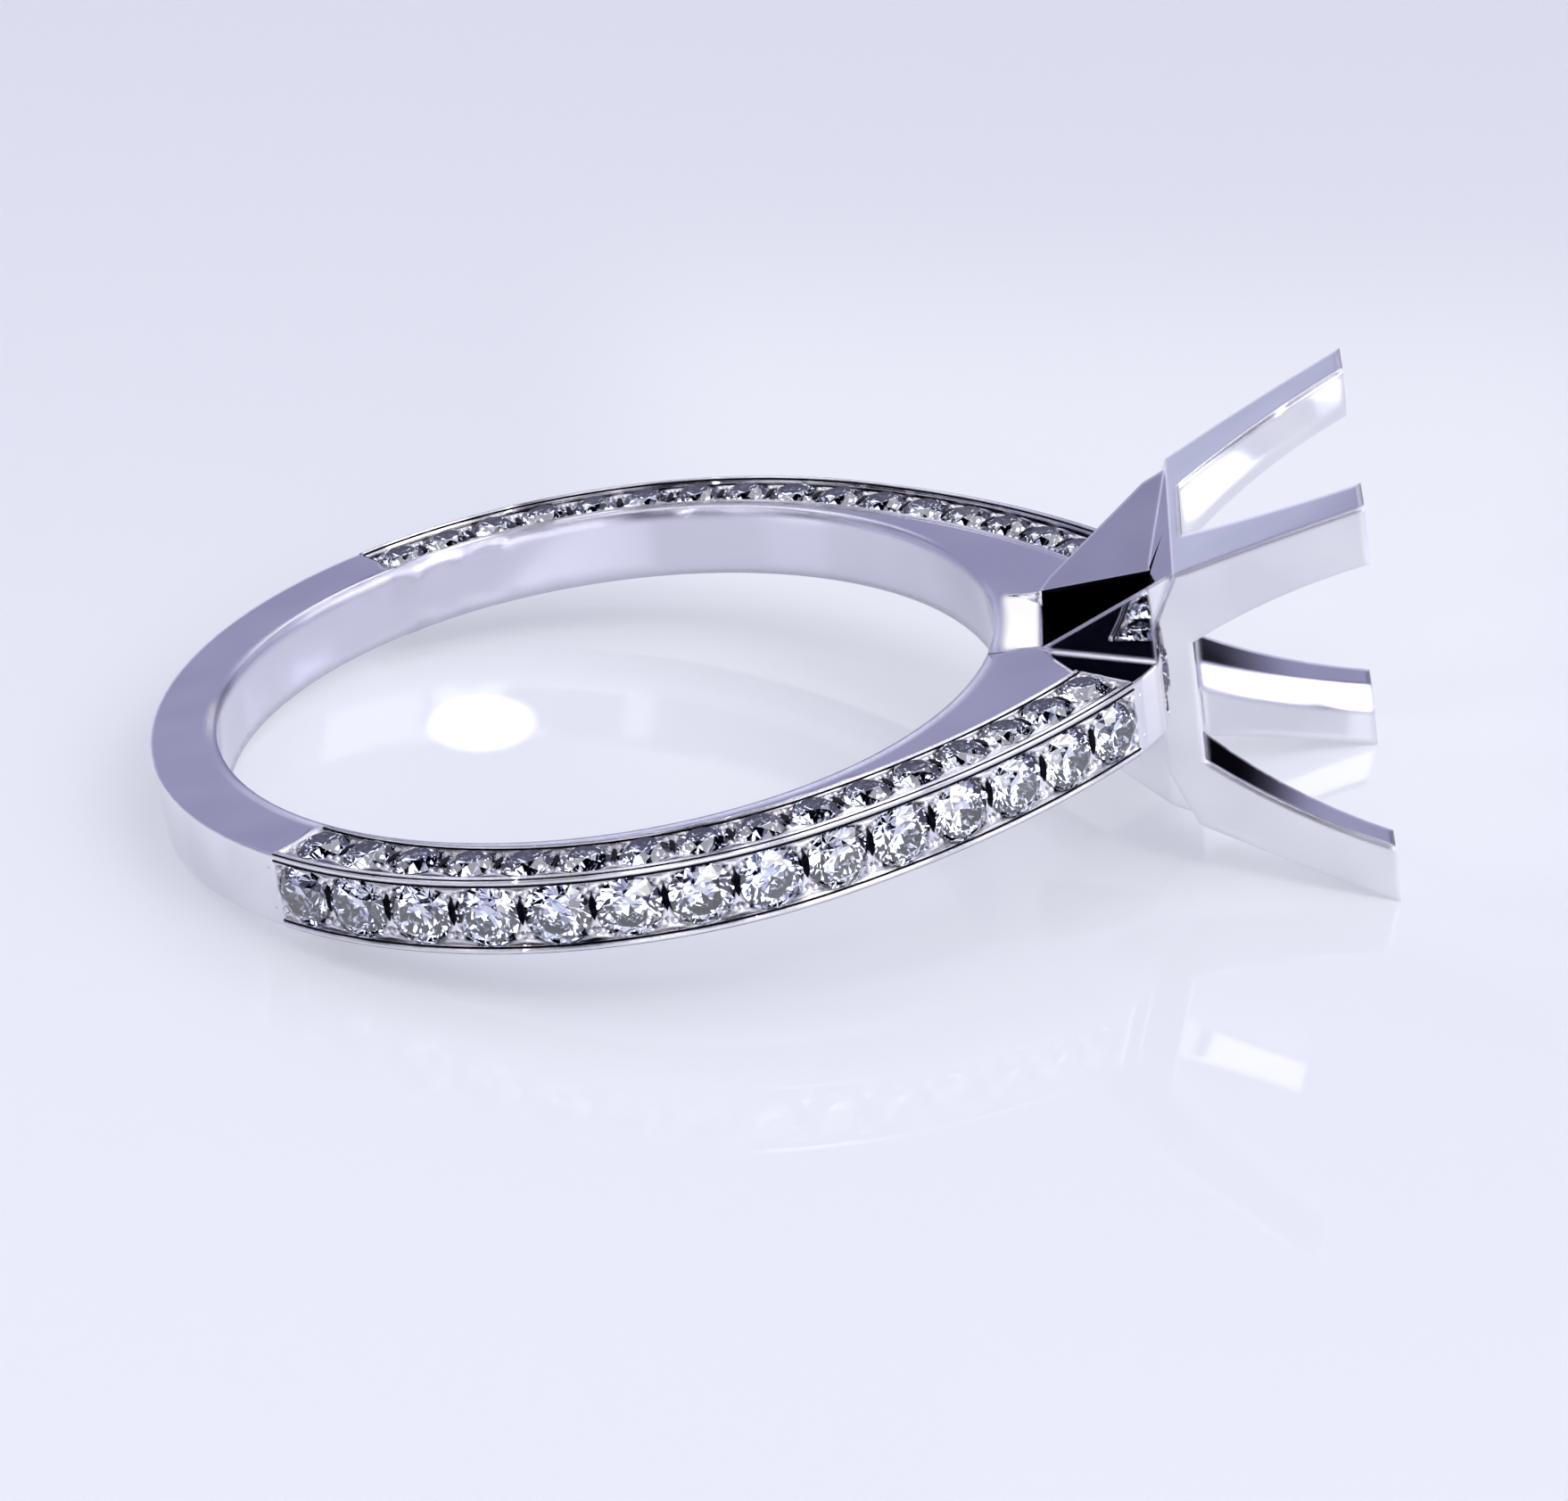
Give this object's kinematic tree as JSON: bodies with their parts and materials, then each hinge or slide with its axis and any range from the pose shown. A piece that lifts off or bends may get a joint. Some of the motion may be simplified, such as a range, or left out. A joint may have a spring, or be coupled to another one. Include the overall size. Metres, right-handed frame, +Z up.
{
  "type": "semi mount ring setting",
  "caption": "Finger ring with stone-set arms and an open four-cornered prong head, ready to take a centre stone.",
  "frame": {"origin": "on the surface that the ring lies on, under the middle of its bounding box", "axes": "+X towards the prong head, +Y towards the far arm, +Z up from the surface; the finger axis leans 8.0 degrees from +Z towards -X, because the ring lies on two prong tips and the edge of its palm side"},
  "size_m": [0.0274, 0.021, 0.0091],
  "materials": {
    "white_gold": "polished 14 kt white gold",
    "diamond": "clear round brilliants"
  },
  "bodies": {
    "root": {"ring_mount": "white_gold", "stones_outer_near": "diamond", "stones_outer_far": "diamond", "stones_upper_near": "diamond", "stones_upper_far": "diamond", "stones_lower_near": "diamond", "stones_lower_far": "diamond"}
  },
  "joints": []
}
